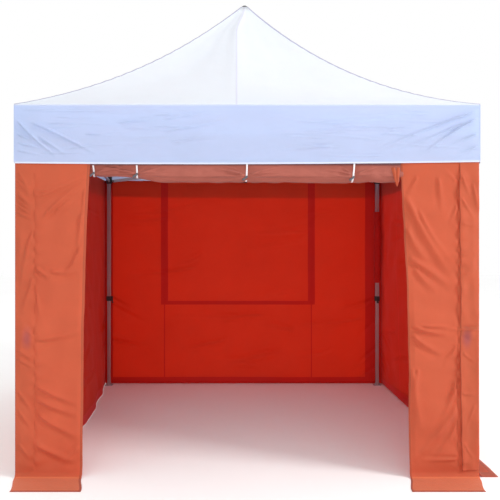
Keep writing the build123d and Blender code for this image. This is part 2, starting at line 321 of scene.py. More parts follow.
SHADOW_GREY = srgb(120, 84, 110)
ORANGE = srgb(198, 102, 68)
SEAM_ORANGE = srgb(172, 80, 52)
INNER_RED = srgb(224, 78, 42)
BAND_RED = srgb(206, 26, 18)
GLOW_RED = srgb(250, 88, 38)
SHADED_GLOW_RED = srgb(218, 72, 28)  # painted shade: the glow of the side walls, darkened because they face away from most of the light
# painted light: a lighter copy of the wall's orange for the ground flaps, which catch more light from
# above
LIT_FLAP_ORANGE = srgb(216, 114, 74)
WHITE = srgb(238, 247, 255)
# painted shade: the valance's white cloth is given a pale blue for the bluish skylight shade it stands in
SKY_SHADED_BLUE = srgb(206, 222, 252)
# painted shade: the rolled door is the walls' cloth, given this darker, duller pink for the shade it hangs
# in under the valance
SHADED_ROLL_PINK = srgb(156, 83, 70)

# painted shadows: the shade of the lock collars of the front legs, behind the front panels, painted into
# the panels' colour
CLAMP_SHADOWS = [((side * 1.415, -WALL, 0.90), (0.045, 0.05, 0.10)) for side in (-1, 1)]

cloth = {
    "roof": cloth_material("roof_cloth", WHITE, 0.02, srgb(250, 250, 250), 0.4, 0.62),
    "roof_seam": cloth_material("roof_seam", srgb(226, 228, 244), 0.03, srgb(240, 240, 248), 0.3),
    "roof_hip": cloth_material("roof_hip", srgb(178, 178, 204), 0.03, srgb(226, 226, 238), 0.2),
    "valance": cloth_material("valance_cloth_sky_shaded", SKY_SHADED_BLUE, 0.03, srgb(232, 238, 252), 0.5, 0.62),
    "hem": cloth_material("valance_hem", srgb(206, 212, 232), 0.02, srgb(230, 235, 250), 0.1),
    "wall": cloth_material("wall_outside", ORANGE, 0.06, GLOW_RED, 0.4, shadow_spots=CLAMP_SHADOWS),
    "flap": cloth_material("wall_flap_lit", LIT_FLAP_ORANGE, 0.06, GLOW_RED, 0.2),
    "inside": cloth_material("wall_inside", INNER_RED, 0.10, GLOW_RED, 0.55),
    # painted shade: a darker copy of the inside cloth for the side walls
    "side_inside": cloth_material("side_wall_inside_shaded", tint(INNER_RED, 0.8), 0.10, SHADED_GLOW_RED, 0.55),
    "band": cloth_material("wall_band", BAND_RED, 0.06, GLOW_RED, 0.34),
    "seam": cloth_material("wall_seam", SEAM_ORANGE, 0.06, GLOW_RED, 0.2),
    "roll": cloth_material("roll_cloth_shaded", SHADED_ROLL_PINK, 0.10),
    # painted shadow: the dark line of shade under the valance's hem
    "hem_shadow_line": cloth_material("hem_shadow_line", srgb(104, 58, 60), 0.06),
    "webbing": cloth_material("tie_webbing", srgb(236, 232, 236), 0.03, roughness=0.8, weave=3.0),
}

# ---- sheet kit


def turned(points, k):
    """Points of the front side's frame (u, -o, z) turned by k quarter turns about Z."""
    x, y, z = points[..., 0], points[..., 1], points[..., 2]
    for _ in range(k):
        x, y = -y, x
    return np.stack([x, y, z], -1)


def side_points(u, o, z, k=0):
    """Row frame points of side k, from u along it, o outward from the middle and z up."""
    return turned(np.stack([u + 0 * o, -o + 0 * u, z + 0 * u], -1), k)


def grid_index(rows, columns, wrap):
    """The numbers of a grid's points. wrap closes it to a tube."""
    index = np.arange(rows * columns).reshape(rows, columns)
    return np.concatenate([index, index[:, :1]], 1) if wrap else index


def plain_slots(points):
    """Material numbers of a sheet's faces, all 0."""
    return np.zeros((points.shape[0] - 1, points.shape[1] - 1), int)


def sheet_piece(name, points, materials, slots=None, thickness=CLOTH, wrap=False, flip=False):
    """A sheet of cloth from a grid of points, rows by columns. slots gives each face's material number.
    materials alternate outside and inside of the sheet: [outside, ..., inside, ...]."""
    index = grid_index(*points.shape[:2], wrap)
    quads = np.stack([index[:-1, :-1], index[1:, :-1], index[1:, 1:], index[:-1, 1:]], -1)
    if flip:
        quads = quads[..., ::-1]
    mesh = bpy.data.meshes.new(name)
    mesh.from_pydata(points.reshape(-1, 3).tolist(), [], quads.reshape(-1, 4).tolist())
    for material in materials:
        mesh.materials.append(material)
    if slots is not None:
        mesh.polygons.foreach_set("material_index", np.asarray(slots, np.int32).ravel())
    mesh.polygons.foreach_set("use_smooth", np.ones(len(mesh.polygons), bool))
    mesh.update()
    piece = in_scene(name, mesh)
    solid = piece.modifiers.new("thickness", "SOLIDIFY")
    solid.thickness = thickness
    solid.offset = -1
    solid.material_offset = len(materials) // 2
    solid.use_rim = True
    return piece


def ripple(u, v, seed, size, waves=14):
    """Smooth unevenness, about -1 to 1: seeded sine waves, about one size long, in all directions."""
    draw = np.random.default_rng(seed)
    total = 0 * u + 0 * v
    for _ in range(waves):
        angle, phase = draw.uniform(0, 2 * pi, 2)
        number = 2 * pi / (size * draw.uniform(0.6, 1.8))
        total = total + np.sin(number * (u * cos(angle) + v * sin(angle)) + phase)
    return total / waves ** 0.5


def creases(u, v, lines, slim=1.0):
    """Soft creases. Each starts at (u0, v0), strongest just after it, and fades out at (u1, v1); then
    its height, its half width and its sideways bow in the middle. slim scales all the widths."""
    total = 0 * u + 0 * v
    for u0, v0, u1, v1, height, width, bow in lines:
        du, dv = u1 - u0, v1 - v0
        length = hypot(du, dv)
        along = ((u - u0) * du + (v - v0) * dv) / length ** 2
        inside = np.clip(along, 0, 1)
        across = ((u - u0) * dv - (v - v0) * du) / length - bow * 4 * inside * (1 - inside)
        fade = np.clip(along * 7, 0, 1) * np.clip(1 - along, 0, 1) ** 0.7
        half = slim * width * (1 + 0.8 * inside)
        ridge = np.exp(-(across / half) ** 2) - 0.55 * np.exp(-((across - 1.5 * half) / half) ** 2)
        total = total + height * fade * ridge
    return total


def in_metres(lines):
    return [tuple(c / 1000 for c in line) for line in lines]


def smooth(x, low, high):
    """0 below low, 1 above high, and an even S curve between them."""
    t = np.clip((x - low) / (high - low), 0, 1)
    return t * t * (3 - 2 * t)


def grid(low, high, count):
    return np.linspace(low, high, count + 1)


def with_stops(low, high, step, stops=()):
    """Places from low to high about one step apart, which include each stop."""
    marks = sorted({low, high, *[s for s in stops if low < s < high]})
    parts = []
    for a, b in zip(marks, marks[1:]):
        count = max(2, int(round((b - a) / step)) + 1)
        parts.append(np.linspace(a, b, count)[:-1])
    return np.concatenate(parts + [[high]])


def settle(piece, body):
    """A piece rides on a body."""
    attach(piece, body)
    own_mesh(piece)


def settle_side(piece, side, node):
    """A side's cloth rides on that side's top connector, and the part it stands for is hidden."""
    settle(piece, "mid_top_" + side)
    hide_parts(node)


# ---- roof

SEAM = 0.009  # half width of a sewn seam of the roof
ROOF_RINGS = 44
GORE_COLUMNS = 22  # columns on each half of a gore
SEAM_LEAN = (-0.068, 0.02, 0.03, -0.02)  # one for each gore, the front one first
FOLD_LIFT = 0.024  # how far over the eave the folded roof lies, on the ends of the bars
RIM = (1.50, 1.32)  # it rises to that between these distances from the middle, at rest
DIP_REACH = 0.40  # within this distance it goes down to the lowered mast
CAP_REACH = 0.05  # the cloth this near the peak stays on the mast cap and doesn't gather
ROOF_SEED = 30


def roof_height(w):
    t = (HALF - w) / (HALF - PEAK_FLAT)
    return EAVE + (PEAK - EAVE) * t - 4 * HIP_SAG * t * (1 - t)


def gore_places(w, lean):
    """Places along one side of a ring: the hip, then both halves, with the seam's edges. lean is how far
    the middle seam has been pulled aside."""
    seam = min(SEAM, 0.2 * w)
    left = np.linspace(-w + seam, -seam * 0.6, GORE_COLUMNS)
    x = np.concatenate([[-w], left, -left[::-1]])
    return x + lean * (1 - (x / w) ** 2)


def roof_points():
    rings = []
    for t in grid(0, 1, ROOF_RINGS) ** 0.9:
        w = PEAK_FLAT + (HALF - 0.001 - PEAK_FLAT) * t
        ring = []
        for k in range(4):
            lean = SEAM_LEAN[k] * smooth(t, 0.0, 0.22)
            x = gore_places(w, lean)
            share = np.abs(gore_places(w, 0.0)) / w
            belly = sin(pi * min(1.0, t)) ** 0.8
            # the middle seam is drawn up tight, and the cloth hangs in between it and each hip
            lift = belly * (0.052 * (1 - share) ** 1.5 - 0.024 * np.sin(pi * share))
            uneven = ripple(x, np.full_like(x, w), ROOF_SEED + k, 0.16)
            lift = lift + 0.0025 * belly * uneven * np.sin(pi * share)
            # creases run down from the peak beside the seam, and the cloth puckers beside each hip
            drawn = np.sin(share * 21 + k + 4 * t) * np.exp(-share * 2.5) * (1 - t) ** 1.2
            lift = lift + 0.006 * belly * drawn
            pucker = np.exp(-(((1 - share) * w) / 0.05) ** 2) * 0.002 * np.sin(w * 95 + k)
            z = roof_height(w) + lift + pucker * belly
            z[0] += 0.003
            across = turned(np.stack([x, np.full_like(x, -w), z], -1), k)
            # the roof hangs a little lower to the right
            to_right = across[:, 0] / HALF
            across[:, 2] -= 0.020 * to_right / max(t, 0.02) * 4 * t * (1 - t)
            ring.append(across)
        rings.append(np.concatenate(ring))
    return np.array(rings)


def hooked(piece, group, weights, body):
    """Points follow a body by their weights, which a sheet that spans several bodies needs."""
    vertex_group = piece.vertex_groups.new(name=group)
    for i in np.nonzero(weights > 1e-4)[0]:
        vertex_group.add([int(i)], float(weights[i]), "REPLACE")
    hook = piece.modifiers.new(group, "HOOK")
    hook.object = frame["bodies"][body]
    hook.vertex_group = group
    hook.falloff_type = "NONE"
    hook.matrix_inverse = frame["bodies"][body].matrix_world.inverted()
    piece.modifiers.move(len(piece.modifiers) - 1, 0)


def make_roof():
    points = roof_points()
    per_side = 2 * GORE_COLUMNS + 1
    column = np.arange(4 * per_side) % per_side
    seam = 2 * ((column == 0) | (column == per_side - 1)) + (column == GORE_COLUMNS)
    slots = np.tile(seam, (ROOF_RINGS, 1))
    layer = [cloth["roof"], cloth["roof_seam"], cloth["roof_hip"]]
    roof = sheet_piece("roof_sheet", points, layer + layer, slots, wrap=True)
    flat = points.reshape(-1, 3)
    x, y = flat[:, 0], flat[:, 1]
    for body, reach in (("left", -x), ("right", x), ("front", -y), ("rear", y)):
        weights = np.clip((reach - CAP_REACH) / (HALF - CAP_REACH), 0, 1)
        hooked(roof, "to_" + body, weights, "mid_top_" + body)
    # the mast draws each point down by its height over its place on the folded roof
    half = np.abs(flat[:, :2]).max(1)
    dip = EAVE + FOLD_LIFT - (PEAK - DROP_TRAVEL)
    folded = EAVE + FOLD_LIFT * smooth(half, *RIM) - dip * smooth(half, DIP_REACH, 0.0)
    hooked(roof, "to_mast", np.clip((flat[:, 2] - folded) / DROP_TRAVEL, 0, 1), "lower_hub")
    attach(roof, "upper_hub")
    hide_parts("canopy_roof")


make_roof()

# ---- valance

# (u0, z0, u1, z1, height, half width, bow) in mm, in the front side's own frame
FRONT_VALANCE = in_metres([
    (-1490, 2310, -1220, 2070, 16, 10, 10), (-1400, 2290, -940, 2070, 16, 11, -10),
    (-1340, 2200, -1160, 2080, 9, 10, 0), (-1490, 2220, -1380, 2170, 10, 7, 0),
    (-1490, 2160, -1260, 2110, 9, 8, 0), (-1490, 2110, -1320, 2080, 8, 7, 0),
    (-1460, 2365, -700, 2352, 12, 10, 0), (-1200, 2360, -200, 2370, 9, 10, 0),
    (-840, 2285, -550, 2315, 12, 10, 0), (-550, 2300, -120, 2350, 13, 10, -10),
    (-820, 2260, -500, 2240, 10, 10, 0), (-550, 2230, -100, 2320, 13, 11, 10),
    (-480, 2150, -200, 2220, 10, 11, 0), (-1050, 2220, -800, 2190, 9, 10, 0),
    (1490, 2360, 800, 2090, 16, 11, 10), (1490, 2315, 1140, 2090, 15, 10, 10),
    (1430, 2300, 920, 2090, 11, 12, -10), (1490, 2210, 1300, 2140, 9, 8, 0),
    (1490, 2130, 1350, 2080, 8, 8, 0), (560, 2140, 220, 2115, 12, 10, 0),
    (700, 2270, 150, 2210, 10, 12, 0), (1050, 2340, 400, 2300, 9, 12, 0),
    (950, 2240, 840, 2200, 9, 9, 0),
])
HEM = 0.016
DRAG_DEPTH = 1.7


def corner_creases(seed):
    """Creases that fan down from both upper corners of a valance panel."""
    draw = np.random.default_rng(seed)
    lines = []
    for sign in (-1, 1):
        for _ in range(4):
            start = draw.uniform(1.36, 1.49)
            length = draw.uniform(0.25, 0.6)
            top = draw.uniform(2.20, 2.35)
            lines.append((sign * start, top, sign * (start - length), top - draw.uniform(0.12, 0.26),
                          draw.uniform(0.004, 0.009), draw.uniform(0.010, 0.014),
                          draw.uniform(-0.01, 0.01)))
    return lines


def drag_lines(seed):
    """Fine, nearly level creases along a valance panel, which run out before its middle."""
    draw = np.random.default_rng(seed)
    lines = []
    for sign in (-1, 1):
        for _ in range(16):
            start = sign * draw.uniform(0.5, 1.40)
            z = draw.uniform(2.07, 2.36)
            lines.append((start, z, start - sign * draw.uniform(0.25, 0.55),
                          z + draw.uniform(-0.015, 0.035), draw.uniform(0.0025, 0.0055),
                          draw.uniform(0.0035, 0.005), draw.uniform(-0.006, 0.006)))
    return lines


def valance_panel(side, k):
    u = with_stops(-HALF, HALF, 0.0075)
    z = with_stops(VALANCE_BOTTOM, EAVE, 0.005, [VALANCE_BOTTOM + HEM, EAVE - 0.012])[::-1]
    u, z = np.meshgrid(u, z)
    share = (EAVE - z) / (EAVE - VALANCE_BOTTOM)
    held = smooth(share, 0.0, 0.25) * smooth(HALF - np.abs(u), 0.0, 0.06)
    depth = 0.9 + 0.8 * smooth(np.abs(u), 0.8, 1.2)  # the creases are deeper towards the corners
    lines = FRONT_VALANCE if side == "front" else corner_creases(50 + k)
    out = depth * creases(u, z, lines, 0.6)
    out = out + DRAG_DEPTH * creases(u, z, drag_lines(55 + k))
    out = out + 0.0022 * ripple(u * 0.6, z * 2.2, 60 + k, 0.22)
    out = out + 0.004 * share * ripple(u, 0 * z, 70 + k, 0.9)
    # its lower edge sags in the middle, and is a little higher at the right
    z = z - 0.010 * share * (1 - (u / HALF) ** 2) + 0.004 * share * u / HALF
    # it folds outward only, because the walls hang right behind it
    out = 0.5 * (out + np.hypot(out, 0.003))
    points = side_points(u, HALF - CLOTH + held * out, z, k)
    slots = plain_slots(points)
    slots[-2:] = 1
    slots[:1] = 1
    blue, hem = cloth["valance"], cloth["hem"]
    panel = sheet_piece("valance_" + side, points, [blue, hem, blue, hem], slots)
    settle_side(panel, side, "canopy_valance")


for k, side in enumerate(SIDES):
    valance_panel(side, k)

# ---- walls

BEND = 0.035  # radius of the bend where a wall turns out into its ground flap
GROUND = 0.003  # a wall's cloth ends or lies this far over the floor


def bent(p, flap):
    """A wall from its top down: at distance p along the cloth, how far out and how high it is. It ends in
    a flap on the ground, or hangs straight where flap is 0."""
    straight = WALL_TOP - GROUND - BEND
    turn = np.clip((p - straight) / BEND, 0, pi / 2)
    out = BEND * (1 - np.cos(turn)) + np.clip(p - straight - BEND * pi / 2, 0, None)
    high = WALL_TOP - np.clip(p, 0, straight) - BEND * np.sin(turn)
    if flap:
        return out, high
    return 0 * p, WALL_TOP - p


def cloth_length(flap):
    return WALL_TOP - GROUND + (flap - BEND + BEND * (pi / 2 - 1) if flap else 0)


def wall_sheet(name, k, u, p, out, flap, widen, inside, slots):
    """A wall's cloth on side k. u and p are grids along the side and down the cloth, and out is how far it
    stands off its plane, measured square to the cloth. widen moves points along the side."""
    away, high = bent(p, flap)
    lying = smooth(p, WALL_TOP - 0.10, WALL_TOP) if flap else 0 * p
    away = away + out * (1 - lying)
    lift = np.clip(out, 0, 0.006) * smooth(p, WALL_TOP + 0.02, WALL_TOP + 0.08)
    high = np.maximum(high + lift * lying, GROUND)
    points = side_points(u + widen, WALL - CLOTH + away, high, k)
    faces = [cloth["wall"], cloth["seam"], cloth["flap"], inside, cloth["band"], inside]
    return sheet_piece(name, points, faces, slots)


FRONT_FLAP = 0.262
SIDE_FLAP = 0.125
DOOR_TOP = 2.02
LEFT_SEAM, RIGHT_SEAM = -1.368, 1.36  # upright seams of the front panels
LEFT_SEED, RIGHT_SEED = 81, 91
LEG = 1.44  # distance of the front legs from the middle

# creases of the front panels, as for the valance
LEFT_PANEL = in_metres([
    (-1484, 1990, -1389, 1830, 7, 8, 0), (-1484, 1930, -1400, 1820, 7, 7, 0),
    (-1486, 1840, -1375, 1740, 8, 8, 0), (-1486, 1800, -1375, 1710, 7, 7, 0),
    (-1486, 1760, -1380, 1690, 7, 7, 0), (-1484, 1710, -1372, 1660, 6, 7, 0),
    (-1372, 1600, -1460, 1200, 6, 10, 10), (-1372, 1300, -1450, 1050, 6, 10, 0),
    (-1357, 1800, -1016, 1970, 8, 11, 10), (-1322, 1660, -1030, 1920, 8, 11, -10),
    (-1350, 1840, -1200, 1880, 5, 10, 0), (-1240, 1700, -1060, 1860, 5, 11, 0),
    (-1364, 1355, -1270, 1285, 11, 9, 0), (-1270, 1330, -1080, 1335, 7, 12, 12),
    (-1072, 1480, -1145, 1330, 7, 10, 0), (-1100, 1400, -1180, 1300, 5, 9, 0),
    (-1065, 1700, -1090, 1460, 6, 9, 0), (-1045, 1860, -1065, 1600, 5, 8, 0),
    (-1360, 1200, -1330, 1020, 6, 9, 0), (-1360, 885, -1060, 950, 8, 12, 10),
    (-1360, 900, -1450, 990, 6, 10, 0), (-1480, 830, -1375, 760, 7, 9, 0),
    (-1480, 770, -1375, 710, 6, 8, 0), (-1370, 600, -1080, 470, 8, 13, 10),
    (-1370, 510, -1070, 400, 10, 15, 10), (-1360, 420, -1070, 260, 10, 15, 15),
    (-1370, 230, -1080, 100, 9, 15, 20), (-1480, 440, -1380, 300, 6, 8, 0),
    (-1480, 560, -1380, 420, 6, 8, 0), (-1470, 220, -1390, 120, 6, 8, 0),
    (-1080, 200, -1200, 60, 6, 12, 0),
])
RIGHT_PANEL = in_metres([
    (1020, 1820, 1355, 1245, 11, 17, 20), (1100, 1740, 1340, 1360, 6, 12, 20),
    (1026, 1610, 1155, 1390, 9, 14, 10), (1040, 1410, 1330, 1215, 11, 16, -10),
    (1070, 1360, 1220, 1200, 8, 16, 10), (1230, 1940, 1260, 1700, 6, 12, 0),
    (1100, 1940, 1040, 1820, 6, 10, 0), (1355, 1900, 1250, 2000, 5, 10, 0),
    (1355, 1760, 1300, 1620, 5, 9, 0), (1054, 975, 1300, 920, 11, 11, 8),
    (1054, 920, 1270, 790, 11, 13, 10), (1100, 980, 1355, 965, 6, 8, 0),
    (1492, 957, 1270, 952, 8, 6, 0), (1355, 845, 1260, 720, 7, 9, 0),
    (1066, 710, 1123, 300, 10, 16, 10), (1100, 700, 1080, 560, 7, 10, 0),
    (1360, 645, 1210, 260, 8, 13, -10), (1360, 487, 1070, 100, 9, 15, -20),
    (1360, 360, 1200, 120, 7, 11, -10), (1360, 575, 1280, 500, 6, 8, 0),
    (1360, 120, 1120, 112, 6, 8, 0),
])
STRIP_CREASES = in_metres([
    (1370, 1950, 1440, 1800, 5, 8, 0), (1450, 1900, 1490, 1700, 5, 8, 0),
    (1375, 1800, 1460, 1660, 5, 8, 0), (1380, 1630, 1480, 1620, 4, 7, 0),
    (1370, 1420, 1460, 1470, 4, 8, 0), (1390, 1300, 1480, 1360, 4, 8, 0),
    (1490, 958, 1370, 955, 7, 5, 0), (1380, 800, 1470, 740, 5, 8, 0),
    (1370, 540, 1480, 530, 5, 7, 0), (1470, 480, 1400, 300, 4, 8, 0),
    (1380, 220, 1460, 120, 4, 8, 0),
])


def left_edge(z):
    """The doorway's left edge: nearly straight, and drawn in under the header."""
    return -1.062 + 0.012 * np.clip(z / 1.4, 0, 1) + 0.040 * np.clip(z / DOOR_TOP, 0, 1) ** 4


def right_edge(z):
    return 1.047 - 0.059 * np.clip(z / DOOR_TOP, 0, 1) ** 2.2


def leg_bulge(u, z, leg_u):
    """The lock collar pushes the cloth out a little in front of each leg."""
    return 0.010 * np.exp(-((u - leg_u) / 0.035) ** 2 - ((z - 0.93) / 0.04) ** 2)


CREASE_DEPTH = 2.0
PANEL_COLUMNS = 84


def panel_folds(u, z, lines, seam_u, seed, leg_u):
    """How far a front panel stands off its plane: its creases, the puckers beside its seam, and the soft
    swells between them."""
    out = CREASE_DEPTH * creases(u, z, lines)
    stitched = np.exp(-((u - seam_u) / 0.012) ** 2)
    out = out * (1 - 0.75 * stitched) - 0.004 * stitched
    pucker = np.sin(z * 60 + 2 * np.sin(z * 9)) * np.sign(u - seam_u)
    out = out + 0.004 * np.exp(-((u - seam_u) / 0.05) ** 2) * pucker
    out = out + 0.004 * ripple(u, z, seed, 0.20) + 0.010 * ripple(u, z, seed + 1, 0.75)
    out = out + leg_bulge(u, z, leg_u)
    out = out * smooth(WALL - np.abs(u), 0.0, 0.05)
    return out * smooth(WALL_TOP - z, 0.16, 0.34) * smooth(z, 0.0, 0.10)


def front_panel(name, outer, edge, seam_u, lines, seed, leg_u):
    """A fixed panel beside the doorway, from the corner at outer to the doorway's edge."""
    length = cloth_length(FRONT_FLAP)
    to_door = np.linspace(0, 1, PANEL_COLUMNS)
    if outer > 0:
        to_door = to_door[::-1]
    p = with_stops(0, length, 0.0075, [length - 0.012, length - 0.024])
    to_door, p = np.meshgrid(to_door, p)
    away, z = bent(p, FRONT_FLAP)
    # the flap is cut aslant, away from the corner
    flare = smooth(away, 0.0, FRONT_FLAP) * 0.05 * np.where(outer < 0, 1, -1)
    u = outer + (edge(z) - outer) * to_door
    out = panel_folds(u, z, lines, seam_u, seed, leg_u)
    # the doorway's edge curls in a little
    curl = 0.012 * smooth(to_door, 0.9, 1.0) * np.sin(z * 5 + seed) * smooth(WALL_TOP - z, 0.1, 0.3)
    slots = plain_slots(p)
    slots[p[1:, 1:] > WALL_TOP - GROUND] = 2
    slots[to_door[1:, 1:] > 0.97] = 1
    slots[-3:] = 1
    piece = wall_sheet(name, 0, u, p, out - np.abs(curl), FRONT_FLAP, flare, cloth["inside"], slots)
    settle_side(piece, "front", "wall_front")
    abs(outer - edge(0.0))


CORNER = 0.003  # gap between a wall's edge and the corner
REAR_CORNER = 0.0016  # the rear wall's edges cover those of the side walls
front_panel("wall_front_left", -WALL + CORNER, left_edge, LEFT_SEAM, LEFT_PANEL, LEFT_SEED, -LEG)
front_panel("wall_front_right", WALL - CORNER, right_edge, RIGHT_SEAM, RIGHT_PANEL, RIGHT_SEED, LEG)

STRIP_EDGE = 1.362  # the loose edge of the corner strip
STRIP_FOOT, STRIP_TOP = 0.045, 2.12


def corner_strip():
    """The free overlapping strip at the right front corner. Its loose edge stands a little off the panel,
    and the strip is pinched flat where a strap goes round the leg behind it."""
    heights = with_stops(STRIP_FOOT, STRIP_TOP, 0.008)[::-1]
    u, z = np.meshgrid(grid(STRIP_EDGE, WALL - CORNER, 22), heights)
    loose = smooth(-u, -LEG, -STRIP_EDGE)
    pinch = 1 - 0.95 * smooth(-np.abs(z - 0.90), -0.12, -0.05)
    hang = smooth(z, 2.04, 1.9)
    out = 0.0022 + (0.009 * loose + 0.0025 * ripple(u, z * 0.7, 97, 0.12)) * pinch * hang
    out = out + CREASE_DEPTH * np.clip(creases(u, z, STRIP_CREASES), 0, None) * hang
    edge = u + loose * (0.002 * np.sin(z * 7) + 0.0015 * np.sin(z * 23)) + 0.016 * (1 - z / 2.1) * loose
    below = np.maximum(panel_folds(u, z, RIGHT_PANEL, RIGHT_SEAM, RIGHT_SEED, LEG), -0.004)
    points = side_points(edge, WALL + below + out, z)
    slots = plain_slots(points)
    slots[:, :1] = 1
    piece = sheet_piece("wall_front_strip", points,
                        [cloth["wall"], cloth["seam"], cloth["inside"], cloth["band"]], slots)
    settle_side(piece, "front", "wall_front")


corner_strip()

HEADER_BOTTOM = 2.009
HEADER_SHADOW_BAND = 0.02  # height of the painted shadow band


def header():
    """The strip over the doorway, behind the valance, with a painted shadow along its lower edge: a dark
    band for the shade gap under the valance's hem.
    """
    heights = with_stops(HEADER_BOTTOM, WALL_TOP, 0.014, [HEADER_BOTTOM + HEADER_SHADOW_BAND])[::-1]
    u, z = np.meshgrid(grid(left_edge(DOOR_TOP), right_edge(DOOR_TOP), 150), heights)
    # painted shadow: the lowest rows of the header get the dark shadow colour
    shadowed = (z[:-1, :-1] < HEADER_BOTTOM + HEADER_SHADOW_BAND + 0.001).astype(int)
    piece = sheet_piece("wall_front_header", side_points(u, WALL - CLOTH, z),
                        [cloth["wall"], cloth["hem_shadow_line"], cloth["inside"], cloth["hem_shadow_line"]], shadowed)
    settle_side(piece, "front", "wall_front")


header()

STRIP = 0.085  # width of the doubled strip at a wall's upright edges
BOTTOM_HEM = 0.075
SEWN = 0.006  # half width of a sewn seam of a wall
FLAP_HEM = 0.03
HANG_DEPTH = 4.0
BAND_STEP = 0.0015  # the doubled bands stand in this far


def long_wall(side, k, billow, flap, seed, inside, mitre=0, seams=(-0.75, 0.75), bands=()):
    """A full side or rear wall, hung inside the valance. mitre is the sign of the end, if any, where its
    ground flap meets the next wall's. bands are the doubled places of the cloth: (u0, u1, z0, z1)."""
    length = cloth_length(flap)
    reach = WALL - (REAR_CORNER if side == "rear" else CORNER)
    hem_z = BOTTOM_HEM if flap else BOTTOM_HEM + GROUND
    stops_p = [length - FLAP_HEM, WALL_TOP - GROUND - BEND, WALL_TOP + 0.02, WALL_TOP - hem_z]
    stops_p += [WALL_TOP - z for band in bands for z in band[2:]]
    p = with_stops(0, length, 0.015, stops_p)
    stops_u = [s + d for s in seams for d in (-SEWN, SEWN)] + [reach - STRIP, STRIP - reach]
    stops_u += [u for band in bands for u in band[:2]]
    u = with_stops(-reach, reach, 0.015, stops_u)
    middle_u, middle_p = np.meshgrid((u[1:] + u[:-1]) / 2, (p[1:] + p[:-1]) / 2)
    middle_z = WALL_TOP - middle_p
    doubled = (np.abs(middle_u) > reach - STRIP) | (middle_p > length - FLAP_HEM)
    doubled |= (middle_z < hem_z) & (middle_z > -0.01)
    for s in seams:
        doubled |= np.abs(middle_u - s) < SEWN
    for u0, u1, z0, z1 in bands:
        doubled |= (middle_u > u0) & (middle_u < u1) & (middle_z > z0) & (middle_z < z1)
    u, p = np.meshgrid(u, p)
    away, z = bent(p, flap)
    down = 1 - np.clip(z / WALL_TOP, 0, 1)
    held = smooth(reach - np.abs(u), 0.0, 0.12) * smooth(down, 0.06, 0.22)
    if flap:
        held = held * smooth(z, 0.0, 0.12)
    out = billow * np.cos(u / reach * pi / 2) ** 1.2 * smooth(down, 0.06, 1.1) ** 1.2
    out = out + held * (0.005 * ripple(u, z, seed, 0.34) + 0.010 * ripple(u, z * 0.5, seed + 1, 1.1))
    out = out + HANG_DEPTH * held * creases(u, z, hang_creases(seed, reach), 0.8)
    for u0, u1, z0, z1 in bands:
        within = smooth(u, u0 - 0.004, u0 + 0.004) * smooth(u, u1 + 0.004, u1 - 0.004)
        out = out - BAND_STEP * within * smooth(z, z0 - 0.004, z0 + 0.004) * held
    widen = mitre * away * smooth(mitre * u, reach - 0.15, reach)
    slots = doubled.astype(int)
    piece = wall_sheet("wall_" + side + "_sheet", k, u, p, out, flap, widen, inside, slots)
    if billow < 0:
        # as the frame folds, the cloth that hangs in comes out again, clear of the bars behind it
        hooked(piece, "stay_out", np.clip(-out.ravel() / SIDE_TRAVEL, 0, 1), "upper_hub")
    settle_side(piece, side, "wall_" + side)


def hang_creases(seed, reach):
    """Long soft drags across a hung wall, mostly level, and short ones near its lower corners."""
    draw = np.random.default_rng(seed)
    lines = []
    for _ in range(16):
        start = draw.uniform(-reach, reach * 0.6)
        z = draw.uniform(0.2, 2.0)
        lines.append((start, z, start + draw.uniform(0.4, 1.0), z + draw.uniform(-0.18, 0.18),
                      draw.uniform(0.002, 0.006), draw.uniform(0.014, 0.03), draw.uniform(-0.04, 0.04)))
    for sign in (-1, 1):
        for _ in range(4):
            z = draw.uniform(0.15, 1.0)
            lines.append((sign * reach, z, sign * (reach - draw.uniform(0.2, 0.5)),
                          z - draw.uniform(0.05, 0.3), draw.uniform(0.004, 0.008),
                          draw.uniform(0.012, 0.02), 0.0))
    return lines


long_wall("left", 3, -0.15, 0, 101, cloth["side_inside"])
long_wall("right", 1, 0.05, SIDE_FLAP, 111, cloth["side_inside"], 1)
# the rear wall's doubled bands frame a closed window panel: u runs the other way from x here
BAND = 0.076  # width of an upright band
SILL_HALF = 0.02  # half height of the band under the window
LEFT_BAND, RIGHT_BAND = 0.85, -0.74  # left and right as seen from the front
SILL = 0.88
WIDE_STRIP = 0.17  # the doubled strip at the end by the rear right leg is this wide
long_wall("rear", 2, 0.01, SIDE_FLAP, 121, cloth["inside"], -1, (LEFT_BAND, RIGHT_BAND),
          [(LEFT_BAND - BAND / 2, LEFT_BAND + BAND / 2, SILL - SILL_HALF, WALL_TOP),
           (RIGHT_BAND - BAND / 2, RIGHT_BAND + BAND / 2, SILL - SILL_HALF, WALL_TOP),
           (RIGHT_BAND, LEFT_BAND, SILL - SILL_HALF, SILL + SILL_HALF),
           (CORNER - WALL, CORNER - WALL + WIDE_STRIP, BOTTOM_HEM, WALL_TOP)])


SLEEVE_R = 0.033
SLEEVE_FOOT, SLEEVE_TOP = 1.10, 1.86


def leg_wrap():
    """The sleeve of wall cloth that holds the right wall to the rear right leg."""
    low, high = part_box("leg_inner_rear_right")
    leg_x, leg_y = (low.x + high.x) / 2, (low.y + high.y) / 2
    heights = with_stops(SLEEVE_FOOT, SLEEVE_TOP, 0.016)[::-1]
    angle, z = np.meshgrid(np.linspace(0.0, 2 * pi, 49)[:-1], heights)
    radius = SLEEVE_R + 0.0025 * ripple(angle * 0.04, z, 141, 0.10) + 0.002 * np.cos(4 * angle - pi)
    points = np.stack([leg_x + radius * np.cos(angle), leg_y + radius * np.sin(angle), z], -1)
    piece = sheet_piece("leg_wrap", points, [cloth["band"], cloth["band"]], wrap=True)
    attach(piece, "leg_rear_right")


leg_wrap()

# ---- rolled door


def roll_size(x):
    """Plain radius of the roll, which is thinner at its left end."""
    share = (x - roll_low.x) / (roll_high.x - roll_low.x)
    return ROLL_R * (0.60 + 0.38 * smooth(share, 0.09, 0.24))


